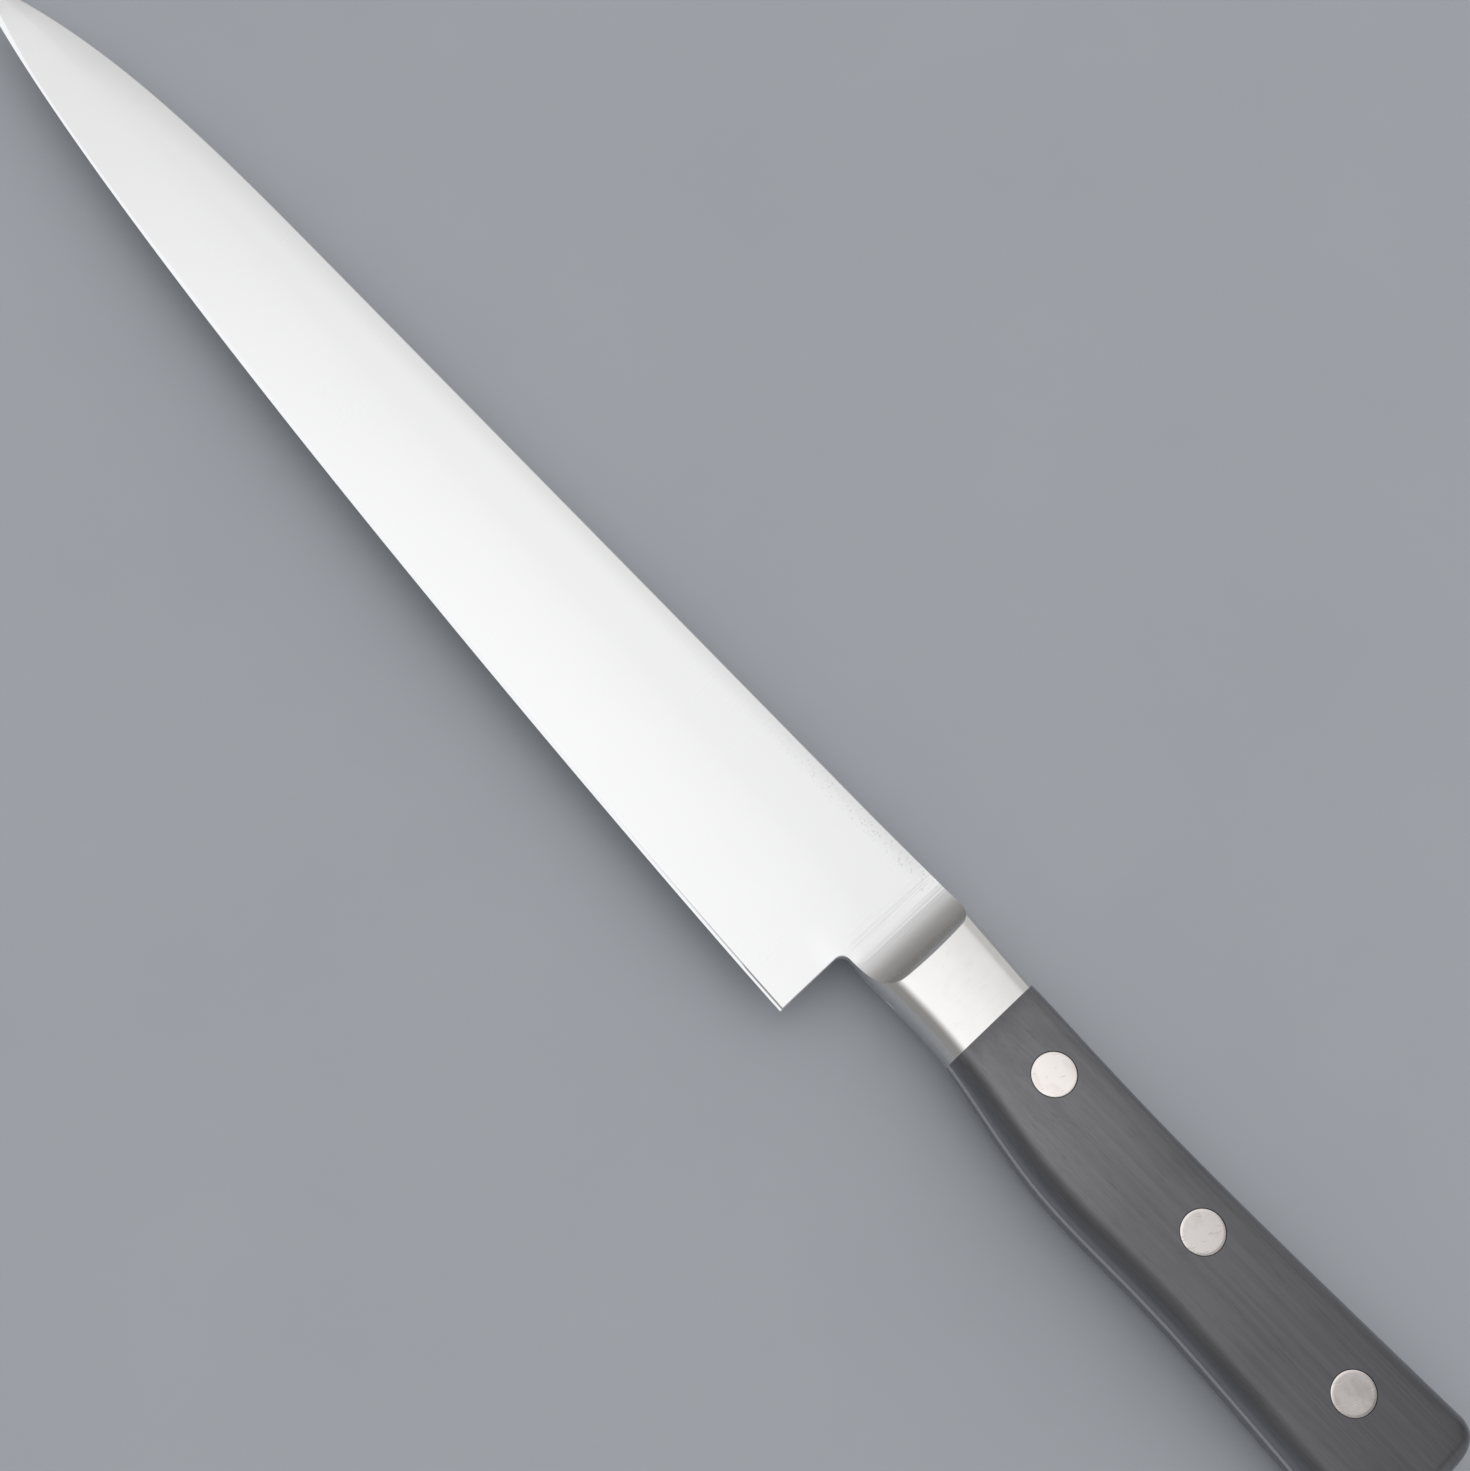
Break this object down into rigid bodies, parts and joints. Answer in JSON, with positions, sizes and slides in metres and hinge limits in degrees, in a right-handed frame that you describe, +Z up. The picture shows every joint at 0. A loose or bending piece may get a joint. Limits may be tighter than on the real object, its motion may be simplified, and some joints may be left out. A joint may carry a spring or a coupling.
{
  "type": "sujihiki slicing knife",
  "caption": "Long narrow slicing knife with a tapered ground blade, a scooped steel bolster, a full tang and black riveted handle scales, lying on its side.",
  "frame": {"origin": "under the middle of the knife's box, on the plane that it lies on", "axes": "+X from the tip to the butt, +Y from the edge to the spine, +Z up out of the knife's left face as it lies on its right side"},
  "size_m": [0.3718, 0.036, 0.0172],
  "materials": {
    "blade_steel": "fine satin, brushed across the blade, with a bright sharpened edge",
    "bolster_steel": "polished, nearly mirror-bright",
    "black_wood": "resin-filled laminated hardwood, satin black",
    "nickel_silver": "ground flush with the scale and polished"
  },
  "bodies": {
    "root": {"blade": "blade_steel", "bolster_left": "bolster_steel", "bolster_right": "bolster_steel", "scale_left": "black_wood", "scale_right": "black_wood", "front_rivet_socket": "nickel_silver", "front_rivet_pin": "nickel_silver", "middle_rivet_socket": "nickel_silver", "middle_rivet_pin": "nickel_silver", "rear_rivet_socket": "nickel_silver", "rear_rivet_pin": "nickel_silver"}
  },
  "joints": []
}
